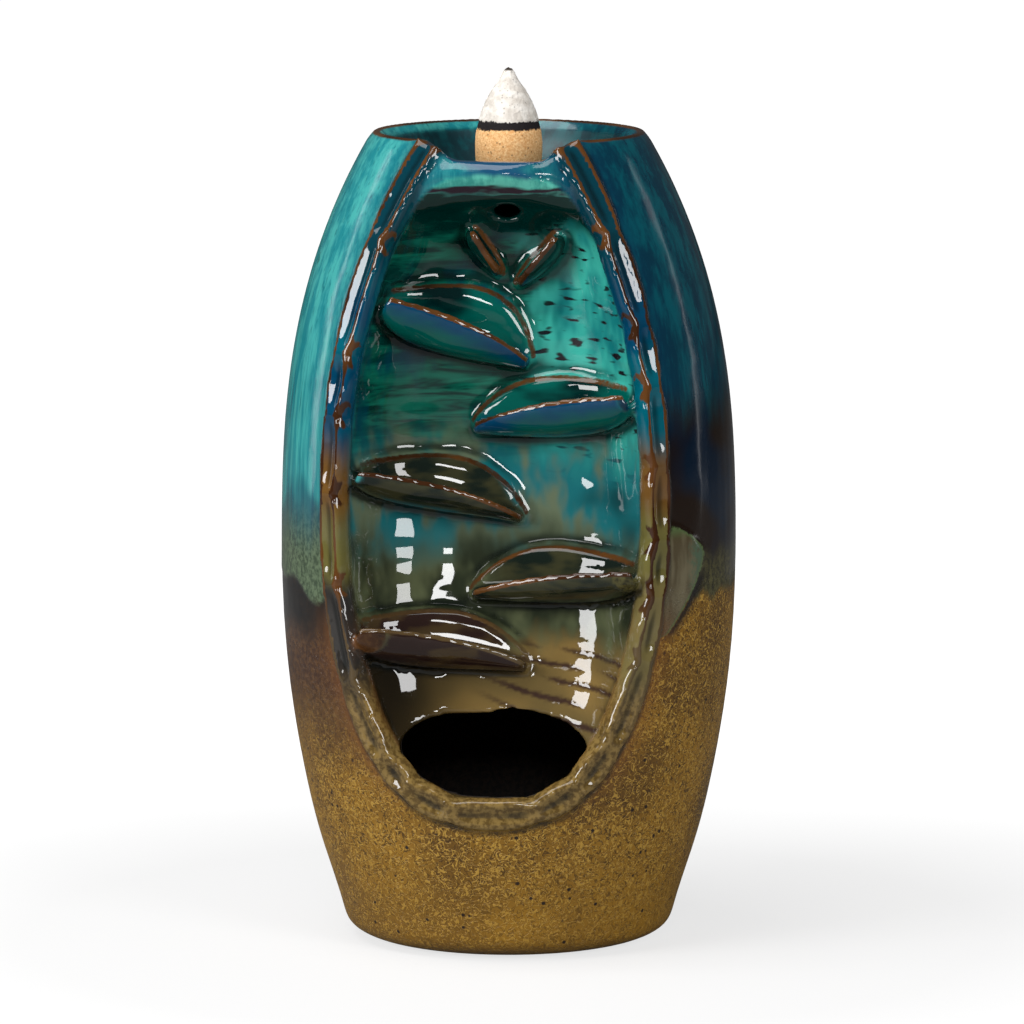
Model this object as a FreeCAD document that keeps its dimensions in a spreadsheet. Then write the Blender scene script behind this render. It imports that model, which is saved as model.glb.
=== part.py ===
import FreeCAD, Part
import math
import os

import Sketcher
from FreeCAD import Placement, Rotation, Vector

# Backflow incense burner: a barrel shaped ceramic body with a carved waterfall front,
# and the incense cone that rests in the basin on its top.
# Millimetres. +Z is up, the carved front faces -Y, the origin is the centre of the foot.

os.makedirs("parts", exist_ok=True)
doc = FreeCAD.newDocument("backflow_incense_burner")

# Driving dimensions

DIMENSIONS = [
    ("body_height", 165.0, "floor to the top of the rim"),
    ("belly_radius", 46.25, "widest radius of the barrel"),
    ("belly_height", 80.0, "height of the widest place"),
    ("rim_radius", 27.5, "radius that the shoulder reaches at the rim"),
    ("base_radius", 31.7, "radius that the lower curve reaches at the floor"),
    ("shoulder_power", 2.7, "fullness of the curve above the belly"),
    ("base_power", 2.1, "fullness of the curve below the belly"),
    ("foot_radius", 24.6, "radius of the flat foot that stands on the table"),
    ("foot_rounding", 6.0, "height of the rounding above the foot"),
    ("wall", 5.0, "thickness of the body wall"),
    ("floor_thickness", 6.0, "thickness of the floor under the inner chamber"),
    ("rim_width", 3.6, "width of the rounded rim"),
    ("basin_depth", 11.0, "rim to the floor of the basin"),
    ("basin_seat_radius", 9.0, "flat floor of the basin, on which the cone stands"),
    ("notch_width", 31.0, "width of the dip in the rim, at its top"),
    ("notch_floor", 15.0, "width of the level part of that dip"),
    ("notch_depth", 4.2, "depth of that dip"),
    ("recess_half_width", 32.4, "middle of the carved front to its ridge"),
    ("recess_middle", 90.0, "height at which the carved front is widest"),
    ("recess_bottom", 31.5, "lowest height of the ridge round the carved front"),
    ("recess_taper", 17.5, "height above the rim at which the front's sides would meet"),
    ("taper_power", 2.4, "fullness of the carved front's outline above its widest place"),
    ("round_power", 0.378, "fullness of that outline below its widest place"),
    ("recess_lap", 1.28, "how far the carved space stays short of the ridge's middle"),
    ("rock_setback", 18.5, "axis to the rock face where it lies deepest"),
    ("rock_foot_setback", 39.6, "axis to the rock face at the ridge below"),
    ("rock_deepest", 110.0, "height up to which the rock face keeps falling back"),
    ("rock_ripple", 0.4, "height of the broad waves in the rock face"),
    ("lip_setback", 28.0, "axis to the rolled lip under the notch"),
    ("lip_drop", 3.0, "dip in the rim to the middle of that lip"),
    ("lip_roll", 1.7, "half the height of that lip"),
    ("lip_swell", 1.3, "how far that lip swells forward"),
    ("rock_overrun", 1.2, "how far the rock face runs out past the barrel at its sides"),
    ("ceiling_height", 15.5, "height of the sloping ceiling under that lip"),
    ("ridge_width", 6.4, "width of the pinched ridge"),
    ("ridge_height", 1.9, "how far the ridge stands proud of the barrel"),
    ("ridge_root", 3.0, "how deep the ridge is rooted in the wall"),
    ("pinch_length", 2.8, "length of one pinched knot along the ridge"),
    ("mouth_half_width", 18.8, "half the width of the opening at the bottom"),
    ("mouth_top", 50.6, "top edge of that opening"),
    ("mouth_shoulder", 44.5, "height at which that opening is widest"),
    ("mouth_bottom", 33.6, "bottom edge of that opening"),
    ("channel_width", 5.6, "width of the smoke channel"),
    ("channel_height", 3.2, "height of the smoke channel"),
    ("channel_side_step", 2.0, "how far its outlet lies to the right of the middle"),
    ("channel_fall", 1.2, "how far the channel falls towards the front"),
    ("sump_radius", 2.4, "hole in the basin floor under the cone"),
    ("sump_depth", 4.0, "depth of that hole"),
    ("leaf_wall", 2.1, "thickness of a leaf dish"),
    ("leaf_root", 3.0, "how deep a leaf is set in the rock face"),
    ("leaf_depth", 10.0, "depth that a leaf's share of depth is counted in"),
    ("leaf_reach", 13.5, "reach out of the rock that a leaf's share of reach is counted in"),
    ("leaf_rise", 6.0, "how much the back rim of the first leaf stands above its front rim"),
    ("leaf_arch", 5.0, "how strongly a leaf's front rim arches, counted in shares"),
    ("cone_height", 23.6, "incense cone, base to tip"),
    ("cone_radius", 6.85, "incense cone, widest radius"),
    ("cone_ash_share", 0.665, "share of the cone's height over which it tapers"),
    ("cone_hole_radius", 1.4, "hole up the middle of the cone, from its base"),
    ("cone_hole_depth", 11.0, "depth of that hole"),
    ("cone_tip_radius", 0.9, "rounding of the burnt tip"),
]

# Each leaf dish: where its outer tip and its pouring end lie, as shares of the carved
# front's half width and height, then its depth, its reach out of the rock, the rise of
# its back rim and the arch of its front rim, each as a share of the size named for it.
LEAF_FIELDS = ("tip_side", "tip_level", "spout_side", "spout_level")
LEAF_FIELDS += ("depth", "reach", "rise", "arch")
LEAVES = {
    "petal_left": (-0.15, 0.867, 0.02, 0.795, 0.30, 0.48, 0.07, 0.1),
    "petal_right": (0.35, 0.861, 0.09, 0.781, 0.36, 0.56, 0.07, 0.1),
    "leaf_first": (-0.65, 0.772, 0.20, 0.672, 0.90, 0.95, 1.0, 1.0),
    "leaf_second": (0.81, 0.631, -0.17, 0.574, 0.84, 0.98, 0.6, 0.8),
    "leaf_third": (-0.84, 0.513, 0.16, 0.436, 0.66, 1.0, 0.75, 1.0),
    "leaf_fourth": (0.87, 0.369, -0.17, 0.324, 0.70, 1.0, 0.72, 0.7),
    "leaf_fifth": (-0.82, 0.281, 0.20, 0.221, 0.80, 0.95, 0.58, 1.0),
}

sheet = doc.addObject("Spreadsheet::Sheet", "dimensions")


def add_dimension(row, alias, value, note):
    sheet.set(f"A{row}", alias)
    sheet.set(f"B{row}", str(value))
    sheet.set(f"C{row}", note)
    sheet.setAlias(f"B{row}", alias)


row = 0
for alias, value, note in DIMENSIONS:
    row += 1
    add_dimension(row, alias, value, note)
for leaf_name, leaf_values in LEAVES.items():
    for field, value in zip(LEAF_FIELDS, leaf_values):
        row += 1
        add_dimension(row, f"{leaf_name}_{field}", value, "leaf dish, a share")
doc.recompute()


def size(alias):
    """A driving dimension, read from the sheet."""
    return float(getattr(sheet, alias))


# The barrel's outline


def barrel_radius(height):
    """Outer radius of the barrel at a height."""
    belly = size("belly_height")
    if height >= belly:
        share = (height - belly) / (size("body_height") - belly)
        drop = size("belly_radius") - size("rim_radius")
        return size("belly_radius") - drop * share ** size("shoulder_power")
    share = (belly - height) / belly
    drop = size("belly_radius") - size("base_radius")
    return size("belly_radius") - drop * share ** size("base_power")


def spline_edge(points, steps=None):
    """A smooth edge through points. Edges of one loft share their steps, the shares of
    the curve between the points, so that they match each other span by span."""
    curve = Part.BSplineCurve()
    if steps is None:
        curve.interpolate(points)
    else:
        curve.interpolate(Points=points, Parameters=steps)
    return curve


def loop_steps(points):
    """Where each point of a closed outline comes along the curve, by its distances."""
    steps = [0.0]
    for point, following in zip(points, points[1:] + points[:1]):
        steps.append(steps[-1] + point.distanceToPoint(following))
    return steps


def spline_loop(points, steps):
    """A smooth closed wire through points. Outlines of one loft share their steps, so
    that they match each other span by span."""
    curve = Part.BSplineCurve()
    curve.interpolate(Points=points, PeriodicFlag=True, Parameters=steps)
    return Part.Wire([curve.toShape()])


def spread(start, end, count):
    """Evenly spaced numbers from start to end, both included."""
    return [start + (end - start) * step / (count - 1) for step in range(count)]


def origin_plane(body, role):
    return next(plane for plane in body.Origin.OriginFeatures if plane.Role == role)


def revolved_body(name, chains, bound):
    """A body of revolution about Z. chains are runs of outline points (radius, height),
    a run of two points is a straight line and a longer one a smooth curve. bound names
    the cell or sum of cells that each listed outline point's radius or height follows."""
    body = doc.addObject("PartDesign::Body", name)
    sketch = body.newObject("Sketcher::SketchObject", name + "_outline")
    sketch.AttachmentSupport = [(origin_plane(body, "XZ_Plane"), "")]
    sketch.MapMode = "FlatFace"
    for chain in chains:
        points = [Vector(radius, height, 0) for radius, height in chain]
        if len(points) == 2:
            sketch.addGeometry(Part.LineSegment(points[0], points[1]), False)
        else:
            sketch.addGeometry(spline_edge(points), False)
    count = len(chains)
    for index in range(count):
        sketch.addConstraint(Sketcher.Constraint("Coincident", index, 2, (index + 1) % count, 1))
    for kind, index, expression in bound:
        chain = chains[index]
        value = chain[0][0] if kind == "DistanceX" else chain[0][1]
        number = sketch.addConstraint(Sketcher.Constraint(kind, -1, 1, index, 1, value))
        sketch.setExpression(f"Constraints[{number}]", expression)
    turn = body.newObject("PartDesign::Revolution", name + "_turn")
    turn.Profile = sketch
    turn.ReferenceAxis = (sketch, ["V_Axis"])
    turn.Angle = 360.0
    return body


# Barrel with its basin, as one turned form

height = size("body_height")
rim_drop = size("rim_width") / 2
rim_outer = (barrel_radius(height - rim_drop), height - rim_drop)
rim_inner = (rim_outer[0] - size("rim_width"), height - rim_drop)
rim_top = ((rim_outer[0] + rim_inner[0]) / 2, height)
basin_floor = height - size("basin_depth")
seat = size("basin_seat_radius")
foot_top = (barrel_radius(size("foot_rounding")), size("foot_rounding"))


def foot_curve(share):
    """A point on the rounding between the table and the barrel wall."""
    angle = math.radians(90 * share)
    radius = size("foot_radius") + (foot_top[0] - size("foot_radius")) * math.sin(angle)
    return (radius, foot_top[1] * (1 - math.cos(angle)))


outer_wall = [foot_curve(share) for share in (0.0, 0.35, 0.7)]
outer_wall += [
    (barrel_radius(level), level) for level in spread(foot_top[1], height - rim_drop, 12)
]
rim_shoulder = ((rim_outer[0] + 2 * rim_top[0]) / 3, height - rim_drop * 0.2)
rim_throat = ((rim_inner[0] + 2 * rim_top[0]) / 3, height - rim_drop * 0.2)
basin_wall = [
    rim_inner,
    (rim_inner[0] - 0.1 * (rim_inner[0] - seat), basin_floor + 0.55 * size("basin_depth")),
    (rim_inner[0] - 0.35 * (rim_inner[0] - seat), basin_floor + 0.2 * size("basin_depth")),
    (seat, basin_floor),
]
barrel = revolved_body(
    "barrel",
    [
        [(0, 0), (size("foot_radius"), 0)],
        outer_wall,
        [rim_outer, rim_shoulder, rim_top, rim_throat, rim_inner],
        basin_wall,
        [(seat, basin_floor), (0, basin_floor)],
        [(0, basin_floor), (0, 0)],
    ],
    [
        ("DistanceX", 1, "dimensions.foot_radius"),
        ("DistanceY", 2, "dimensions.body_height - dimensions.rim_width / 2"),
        ("DistanceX", 4, "dimensions.basin_seat_radius"),
        ("DistanceY", 4, "dimensions.body_height - dimensions.basin_depth"),
    ],
)

# Inner chamber, a turned form one wall inside the barrel

wall = size("wall")
chamber_top = basin_floor - size("sump_depth") - wall - size("channel_fall")
chamber_floor = size("floor_thickness")
chamber_low = chamber_floor + wall
chamber_high = chamber_top - 2 * wall
chamber_wall = [(barrel_radius(chamber_floor) - 3 * wall, chamber_floor)]
chamber_wall += [
    (barrel_radius(level) - wall, level) for level in spread(chamber_low, chamber_high, 8)
]
chamber_wall.append(((barrel_radius(chamber_high) - wall) * 0.55, chamber_top - 0.2 * wall))
chamber = revolved_body(
    "chamber",
    [
        [(0, chamber_floor), (barrel_radius(chamber_floor) - 3 * wall, chamber_floor)],
        chamber_wall,
        [chamber_wall[-1], (0, chamber_top)],
        [(0, chamber_top), (0, chamber_floor)],
    ],
    [("DistanceY", 0, "dimensions.floor_thickness")],
)

# The carved front


def front_half_width(level):
    """Half the width of the carved front, middle to ridge, at a height."""
    middle = size("recess_middle")
    if level >= middle:
        share = (level - middle) / (size("body_height") - middle + size("recess_taper"))
        return size("recess_half_width") * (1 - share ** size("taper_power"))
    share = min(1.0, (middle - level) / (middle - size("recess_bottom")))
    return size("recess_half_width") * (1 - share**2) ** size("round_power")


def smooth_step(share):
    share = max(0.0, min(1.0, share))
    return share * share * (3 - 2 * share)


# Two sets of broad waves in the rock face, counted over the height of the body
WAVES = (12.3, 7.6)


def rock_middle(level):
    """Distance from the axis forward to the rock face, on the middle line."""
    setback = size("rock_setback")
    deepest = size("rock_deepest")
    lip_level = height - size("notch_depth") - size("lip_drop")
    if level < deepest:
        share = (deepest - level) / (deepest - size("recess_bottom"))
        setback += (size("rock_foot_setback") - setback) * share**2
    rise = smooth_step((level - lip_level + size("ceiling_height")) / size("ceiling_height"))
    setback += (size("lip_setback") - size("rock_setback")) * rise
    swell = math.exp(-(((level - lip_level) / size("lip_roll")) ** 2))
    setback += size("lip_swell") * swell
    turns = 2 * math.pi * level / height
    wave = 0.6 * math.sin(WAVES[0] * turns) + 0.4 * math.sin(WAVES[1] * turns + 1.0)
    return setback + size("rock_ripple") * wave * (1 - rise)


def rock_setback(across, level, half_width):
    """Distance from the axis plane forward to the rock face."""
    middle = rock_middle(level)
    edge = math.sqrt(barrel_radius(min(level, height)) ** 2 - half_width**2)
    edge += size("rock_overrun")
    lip_start = height - size("notch_depth") - size("lip_drop") - size("ceiling_height")
    power = 4 - 2 * smooth_step((level - lip_start) / size("ceiling_height"))
    return middle + (edge - middle) * min(1.0, abs(across) / half_width) ** power


def front_section(level, widen, behind):
    """Closed outline of the carved space at a height, widened and moved back."""
    half_width = front_half_width(level) - size("recess_lap")
    reach = half_width + widen
    backs = []
    for across in spread(-1.0, 1.0, 9):
        depth = rock_setback(across * half_width, level, half_width) - behind
        backs.append(Vector(across * reach, -depth, level))
    front = -(size("belly_radius") + 2 * wall)
    right = Vector(reach, front, level)
    left = Vector(-reach, front, level)
    steps = spread(0.0, 1.0, len(backs))
    edges = [spline_edge(backs, steps).toShape()]
    edges.append(Part.makeLine(backs[-1], right))
    edges.append(Part.makeLine(right, left))
    edges.append(Part.makeLine(left, backs[0]))
    return Part.Wire(edges)


def front_space(widen, behind, levels):
    """The carved space as a solid loft through its sections."""
    sections = [front_section(level, widen, behind) for level in levels]
    return Part.makeLoft(sections, True, False)


recess_low = size("recess_bottom") + size("rock_overrun")
recess_high = height + size("rock_overrun")
lip_middle = height - size("notch_depth") - size("lip_drop")
ceiling_foot = lip_middle - size("ceiling_height")
recess_levels = spread(recess_low, size("mouth_top"), 4)
recess_levels += spread(size("mouth_top"), ceiling_foot, 8)[1:]
recess_levels += spread(ceiling_foot, lip_middle - size("lip_roll"), 4)[1:]
recess_levels += spread(lip_middle, recess_high, 4)
recess_space = doc.addObject("Part::Feature", "recess_space")
recess_space.Shape = front_space(0.0, 0.0, recess_levels)

recess_backing = doc.addObject("Part::Feature", "recess_backing")
recess_backing.Shape = front_space(wall * 0.8, wall, recess_levels)


# Share of each half of the ridge that runs round below the widest place
LOWER_RUN = 0.53


def ridge_path(share):
    """Middle of the ridge, from its left end at the rim (0) round to its right end (1)."""
    middle = size("recess_middle")
    side = -1.0 if share < 0.5 else 1.0
    along = abs(2 * share - 1)
    if along > LOWER_RUN:
        level = middle + (height - 1 - middle) * (along - LOWER_RUN) / (1 - LOWER_RUN)
    else:
        angle = math.radians(90) * along / LOWER_RUN
        level = middle - (middle - size("recess_bottom")) * math.cos(angle)
    across = side * front_half_width(level)
    depth = math.sqrt(barrel_radius(level) ** 2 - across**2)
    return Vector(across, -depth, level)


def barrel_normal(point):
    """Outward direction of the barrel's surface at a point on it."""
    above = barrel_radius(point.z + 0.5)
    below = barrel_radius(point.z - 0.5)
    slope = above - below
    outward = Vector(point.x, point.y, 0).normalize()
    return (outward - Vector(0, 0, slope)).normalize()


# Places where the ridge was pinched, as shares of its length from the left end
PINCHES = (0.06, 0.13, 0.17, 0.22, 0.275, 0.335, 0.395, 0.43, 0.475)
PINCHES += (0.53, 0.575, 0.62, 0.68, 0.72, 0.755, 0.80, 0.85, 0.89, 0.945)
ridge_points = [ridge_path(share) for share in spread(0.0, 1.0, 41)]
ridge_length = sum(
    point.distanceToPoint(after) for point, after in zip(ridge_points, ridge_points[1:])
)


def pinch_at(share):
    """How strongly the ridge is pinched at a place, 0 to 1."""
    reach = size("pinch_length") / ridge_length
    return max(math.exp(-(((share - place) / reach) ** 2)) for place in PINCHES)


def ridge_outline(share):
    """Points across the ridge: two crests with a shallow valley between them."""
    middle = ridge_path(share)
    ahead = ridge_path(min(1.0, share + 0.004)) - ridge_path(max(0.0, share - 0.004))
    along = ahead.normalize()
    outward = barrel_normal(middle)
    across = along.cross(outward).normalize()
    pinch = pinch_at(share)
    half = size("ridge_width") / 2 * (1.0 - 0.28 * pinch)
    proud = size("ridge_height") * (0.9 + 0.25 * pinch)
    valley = proud * (0.4 + 0.5 * pinch)
    root = size("ridge_root")
    outline = [
        (-1.0, -0.2 * root),
        (-0.72, proud),
        (0.0, valley),
        (0.72, proud),
        (1.0, -0.2 * root),
        (0.7, -0.8 * root),
        (0.0, -root),
        (-0.7, -0.8 * root),
    ]
    return [middle + across * (half * side) + outward * rise for side, rise in outline]


ridge_steps = loop_steps(ridge_outline(0.5))


def ridge_section(share):
    return spline_loop(ridge_outline(share), ridge_steps)


ridge = doc.addObject("Part::Feature", "ridge")
ridge_stops = [0.0] + list(PINCHES) + [1.0]
ridge_faces = [Part.Face(ridge_section(share)) for share in (0.0, 1.0)]
for start, end in zip(ridge_stops, ridge_stops[1:]):
    wires = [ridge_section(share) for share in spread(start, end, 5)]
    ridge_faces += Part.makeLoft(wires, False, False).Faces
ridge_skin = Part.makeShell(ridge_faces)
ridge_skin.sewShape()
ridge.Shape = Part.Solid(ridge_skin)

# Leaf dishes


def rock_point(across, level):
    half_width = front_half_width(level) - size("recess_lap")
    return Vector(across, -rock_setback(across, level, half_width), level)


def front_place(side, level):
    """A place on the carved front, from shares of its half width and its height."""
    low = size("recess_bottom")
    return Vector(side * size("recess_half_width"), 0, low + level * (height - low))


def leaf_outline(name, share):
    """Points across a leaf dish, share 0 at its tip and 1 at its pouring end."""
    value = {field: size(f"{name}_{field}") for field in LEAF_FIELDS}
    tip = front_place(value["tip_side"], value["tip_level"])
    spout = front_place(value["spout_side"], value["spout_level"])
    along = spout - tip
    up = Vector(0, -1, 0).cross(along).normalize()
    if up.z < 0:
        up = up * -1
    arch = value["arch"] * size("leaf_arch") * (share - share**3)
    fullness = math.sin(math.pi * (0.14 + 0.8 * share**0.75)) ** 0.75
    middle = tip + along * share + up * arch
    rock = rock_point(middle.x, middle.z).y
    depth = value["depth"] * size("leaf_depth") * fullness
    reach = value["reach"] * size("leaf_reach") * (0.22 + 0.78 * fullness)
    rise = value["rise"] * size("leaf_rise") * math.sin(math.pi * share**1.3) ** 0.8
    shell = size("leaf_wall") * (0.7 + 0.3 * fullness)
    root = size("leaf_root")
    inner = max(0.25, depth - shell)
    outline = [
        (reach, 0.0),
        (reach - 0.15 * shell, -0.35 * depth - 0.1),
        (reach * 0.82, -0.72 * depth - 0.2),
        (reach * 0.52, -0.97 * depth - 0.3),
        (0.0, -depth - 0.5),
        (-root, -depth - 0.4),
        (-root, (rise - depth) * 0.5),
        (-root, rise * 0.9),
        (0.1 * reach, rise + 0.1),
        (0.2 * reach, -0.35 * inner + rise * 0.3),
        (0.5 * reach, -inner),
        (reach - 1.15 * shell, -0.55 * inner),
        (reach - 0.65 * shell, 0.0),
        (reach - 0.3 * shell, 0.22),
    ]
    return [Vector(middle.x, rock - out, middle.z) + up * lift for out, lift in outline]


leaves = []
for name in LEAVES:
    leaf = doc.addObject("Part::Feature", name)
    steps = loop_steps(leaf_outline(name, 0.5))
    outlines = [leaf_outline(name, share) for share in spread(0.0, 1.0, 7)]
    leaf.Shape = Part.makeLoft([spline_loop(points, steps) for points in outlines], True, False)
    leaves.append(leaf)

# Openings


def closed_outline(points, direction, name):
    """A tool with a smooth closed outline, swept along a direction."""
    face = Part.Face(spline_loop(points, loop_steps(points)))
    tool = doc.addObject("Part::Feature", name)
    tool.Shape = face.extrude(direction)
    return tool


mouth_half = size("mouth_half_width")
mouth_top = size("mouth_top")
mouth_low = size("mouth_bottom")
mouth_mid = size("mouth_shoulder")
front_y = -(size("belly_radius") + 2 * wall)
mouth_right = [
    (0.0, mouth_top),
    (0.62 * mouth_half, mouth_top - 0.18 * (mouth_top - mouth_mid)),
    (mouth_half, mouth_mid),
    (0.72 * mouth_half, mouth_low + 0.3 * (mouth_mid - mouth_low)),
    (0.0, mouth_low),
]
mouth_left = [(-across, level) for across, level in reversed(mouth_right[1:-1])]
mouth_points = [Vector(across, front_y, level) for across, level in mouth_right + mouth_left]
mouth_end = size("recess_half_width") * 0.5
mouth = closed_outline(mouth_points, Vector(0, -front_y - mouth_end, 0), "mouth")

# Dip in the rim, over the carved front
notch_low = height - size("notch_depth")
notch_top = height + size("notch_depth")
notch_half = size("notch_width") / 2
notch_flat = size("notch_floor") / 2
notch_side = [
    (notch_flat, notch_low),
    (notch_flat + 0.35 * (notch_half - notch_flat), notch_low + 0.18 * size("notch_depth")),
    (notch_flat + 0.7 * (notch_half - notch_flat), notch_low + 0.72 * size("notch_depth")),
    (notch_half, height + 0.1),
]
right_side = [Vector(across, front_y, level) for across, level in notch_side]
left_side = [Vector(-point.x, point.y, point.z) for point in reversed(right_side)]
top_right = Vector(notch_half, front_y, notch_top)
top_left = Vector(-notch_half, front_y, notch_top)
notch_wire = Part.Wire(
    [
        Part.makeLine(left_side[-1], right_side[0]),
        spline_edge(right_side).toShape(),
        Part.makeLine(right_side[-1], top_right),
        Part.makeLine(top_right, top_left),
        Part.makeLine(top_left, left_side[0]),
        spline_edge(left_side).toShape(),
    ]
)
notch = doc.addObject("Part::Feature", "notch")
notch.Shape = Part.Face(notch_wire).extrude(Vector(0, -front_y - seat, 0))

# Smoke channel: a hole in the basin floor that leads forward and out above the petals
sump = doc.addObject("Part::Cylinder", "sump")
sump.setExpression("Radius", "dimensions.sump_radius")
sump.setExpression("Height", "dimensions.sump_depth + 1")
sump.Placement = Placement(Vector(0, 0, basin_floor - size("sump_depth")), Rotation())

channel_mid = basin_floor - size("sump_depth") + size("channel_height") / 2
channel_start = Vector(0, 0, channel_mid)
channel_end = Vector(
    size("channel_side_step"),
    -size("rim_radius"),
    channel_mid - size("channel_fall"),
)
oval = Part.Ellipse(channel_start, size("channel_width") / 2, size("channel_height") / 2)
oval.rotate(Placement(channel_start, Rotation(Vector(1, 0, 0), 90), Vector(0, 0, 0)))
channel = doc.addObject("Part::Feature", "channel")
channel_face = Part.Face(Part.Wire([oval.toShape()]))
channel.Shape = channel_face.extrude(channel_end - channel_start)


def cut(name, base, tool):
    result = doc.addObject("Part::Cut", name)
    result.Base = base
    result.Tool = tool
    return result


# The burner, built up as it was made: a hollow barrel with a carved front, then the
# opening, the dip, the ridge and the leaves, and the smoke channel last
hollow = cut("hollow", chamber, recess_backing)
carved = cut("carved", barrel, recess_space)
shell = cut("shell", carved, hollow)
opened = cut("opened", shell, mouth)
dipped = cut("dipped", opened, notch)
drained = cut("drained", dipped, sump)
vented = cut("vented", drained, channel)
doc.recompute()
burner = doc.addObject("Part::Feature", "burner")
burner.Shape = vented.Shape.fuse([leaf.Shape for leaf in leaves]).fuse(ridge.Shape)

# The incense cone: burnt to ash at its tip, with a hole up from its base
cone_tall = size("cone_height")
ash_share = size("cone_ash_share")
cone_side = [(size("cone_radius") * 0.9, 0.0)]
cone_side += [
    (size("cone_radius") * (1 - 0.1 * (1 - share) ** 2), cone_tall * (1 - ash_share) * share)
    for share in (0.5, 1.0)
]
cone_side += [
    (size("cone_radius") * (1 - share**2), cone_tall * (1 - ash_share * (1 - share)))
    for share in (0.25, 0.5, 0.7, 0.85)
]
tip_round = size("cone_tip_radius")
cone_side.append((tip_round * 0.75, cone_tall - tip_round * 0.4))
cone_side.append((0.0, cone_tall))
hole_top = size("cone_hole_depth")
hole_wide = size("cone_hole_radius")
cone = revolved_body(
    "incense_cone",
    [
        [(0.0, hole_top), (hole_wide, hole_top - hole_wide * 0.5)],
        [(hole_wide, hole_top - hole_wide * 0.5), (hole_wide, 0.0)],
        [(hole_wide, 0.0), cone_side[0]],
        cone_side,
        [(0.0, cone_tall), (0.0, hole_top)],
    ],
    [
        ("DistanceY", 0, "dimensions.cone_hole_depth"),
        ("DistanceX", 2, "dimensions.cone_hole_radius"),
        ("DistanceY", 4, "dimensions.cone_height"),
    ],
)
cone.Placement = Placement(Vector(0, 0, basin_floor), Rotation())
doc.recompute()

# Nothing is written unless every object is sound
for obj in doc.Objects:
    if "Invalid" in obj.State or "Error" in obj.State:
        raise RuntimeError(f"{obj.Name} did not build: {obj.State}")
for part in (burner, cone):
    part.Label = part.Name
    if part.Shape.isNull() or not part.Shape.isValid():
        raise RuntimeError(f"{part.Label} has no sound shape")
    part.Shape.exportStep(f"parts/{part.Label}.step")
    print(part.Label, len(part.Shape.Solids), round(part.Shape.Volume), part.Shape.BoundBox)
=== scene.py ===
# %% [markdown]
# A backflow incense burner: a barrel shaped ceramic body with a carved waterfall front,
# dipped in glazes that run from turquoise to dark brown to mustard, and a lit incense
# cone in its basin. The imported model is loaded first. It is the frame that every piece
# keeps to, in metres, with +Z up and the carved front facing -Y.

# %% load the frame
import math

import bpy
import numpy as np
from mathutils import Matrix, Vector
from mathutils import noise as grain


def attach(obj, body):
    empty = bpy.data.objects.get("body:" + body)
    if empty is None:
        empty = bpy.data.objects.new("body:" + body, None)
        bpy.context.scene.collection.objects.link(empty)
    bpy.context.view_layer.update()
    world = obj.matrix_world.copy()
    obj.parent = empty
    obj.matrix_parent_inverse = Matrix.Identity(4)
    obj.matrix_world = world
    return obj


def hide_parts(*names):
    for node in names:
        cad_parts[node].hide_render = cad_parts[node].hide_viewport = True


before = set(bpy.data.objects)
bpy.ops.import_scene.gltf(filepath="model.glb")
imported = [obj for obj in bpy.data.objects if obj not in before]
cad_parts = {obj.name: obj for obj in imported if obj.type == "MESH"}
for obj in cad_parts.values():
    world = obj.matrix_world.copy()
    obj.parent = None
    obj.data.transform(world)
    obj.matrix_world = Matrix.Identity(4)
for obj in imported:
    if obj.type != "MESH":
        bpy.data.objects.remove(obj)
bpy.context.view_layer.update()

print("nodes:", sorted(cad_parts))

# %% [markdown]
# The camera comes first, because each look at the work goes through it. The burner was
# photographed with a long lens from a little above, and a few degrees from the right.

# %% camera
view_distance = 1.5734
view_height = 0.3066
view_turn = math.radians(5.0)
camera_data = bpy.data.cameras.new("studio_camera")
camera = bpy.data.objects.new("studio_camera", camera_data)
bpy.context.scene.collection.objects.link(camera)
camera.location = (
    view_distance * math.sin(view_turn),
    -view_distance * math.cos(view_turn),
    view_height,
)
camera.rotation_euler = (math.radians(90 - 7.955), 0.0, view_turn)
camera_data.sensor_width = 36.0
camera_data.lens = 274.18
camera_data.shift_x = 0.0032
bpy.context.scene.camera = camera
print("camera at", [round(value, 3) for value in camera.location])

# %% [markdown]
# The object is placed on a white floor. Soft boxes stand left, right, in front and above,
# and a very narrow one behind on each side gives the long bright lines on the wet glaze.
# The colours are read under plain light, so the lamps stay at a level at which a colour
# shows about as it is written.

# %% colours as a maker names them, and the lamps


def shade(red, green, blue):
    """A colour given in display steps of 0 to 255, as the linear colour that shaders use."""
    steps = [value / 255 for value in (red, green, blue)]
    linear = [s / 12.92 if s <= 0.04045 else ((s + 0.055) / 1.055) ** 2.4 for s in steps]
    return (*linear, 1.0)


def soft_box(name, place, aim, width, height, power):
    """A rectangular lamp at a place, turned towards the point that it lights."""
    lamp_data = bpy.data.lights.new(name, "AREA")
    lamp_data.shape = "RECTANGLE"
    lamp_data.size = width
    lamp_data.size_y = height
    lamp_data.energy = power
    lamp = bpy.data.objects.new(name, lamp_data)
    bpy.context.scene.collection.objects.link(lamp)
    lamp.location = place
    lamp.rotation_euler = (Vector(aim) - Vector(place)).to_track_quat("-Z", "Y").to_euler()
    return lamp


middle = (0.0, 0.0, 0.085)
soft_box("box_left", (-0.80, -0.66, 0.42), middle, 0.46, 0.40, 8.0)
soft_box("box_left_rear", (-0.86, 0.34, 0.30), middle, 0.04, 0.6, 0.22)
soft_box("box_right", (0.68, -0.76, 0.42), middle, 0.34, 0.38, 5.0)
soft_box("box_right_rear", (0.78, 0.42, 0.26), middle, 0.03, 0.6, 0.10)
soft_box("box_front", (0.10, -1.1, 0.46), middle, 0.16, 0.16, 1.6)
soft_box("box_top", (-0.30, -0.25, 1.1), middle, 0.8, 0.8, 8.0)

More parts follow.
